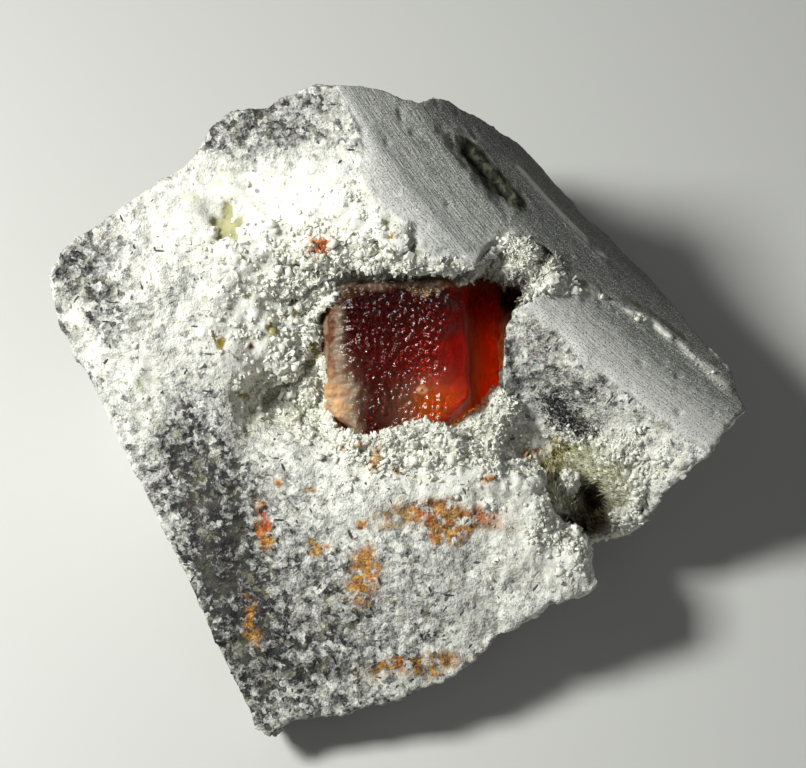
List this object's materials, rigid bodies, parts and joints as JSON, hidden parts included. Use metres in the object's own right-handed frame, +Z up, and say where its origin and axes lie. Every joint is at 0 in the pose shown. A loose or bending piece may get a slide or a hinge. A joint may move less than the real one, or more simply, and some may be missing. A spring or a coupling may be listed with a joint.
{
  "type": "villiaumite specimen",
  "caption": "Chunk of pale grey rock with a drilled side and a white-lined vug that holds one dark red cube-like crystal.",
  "frame": {"origin": "middle of the specimen's box in X and Y, on the surface it lies on", "axes": "+Z up; the broken front face with the crystal leans back 30 degrees from level and looks up towards -Y"},
  "size_m": [0.0404, 0.039, 0.0216],
  "materials": {
    "rock": "broken, matt, speckled white and grey, with a finely scratched drilled side",
    "zeolite": "white, blocky and bladed small crystals with a dull glint",
    "zeolite_nook": "pale greenish white, fibrous",
    "villiaumite": "etched, glossy, dark cherry red, see-through orange where it is thin"
  },
  "bodies": {
    "root": {"matrix": "rock", "vug_crust": "zeolite", "nook_crust": "zeolite_nook", "villiaumite_crystal": "villiaumite"}
  },
  "joints": []
}
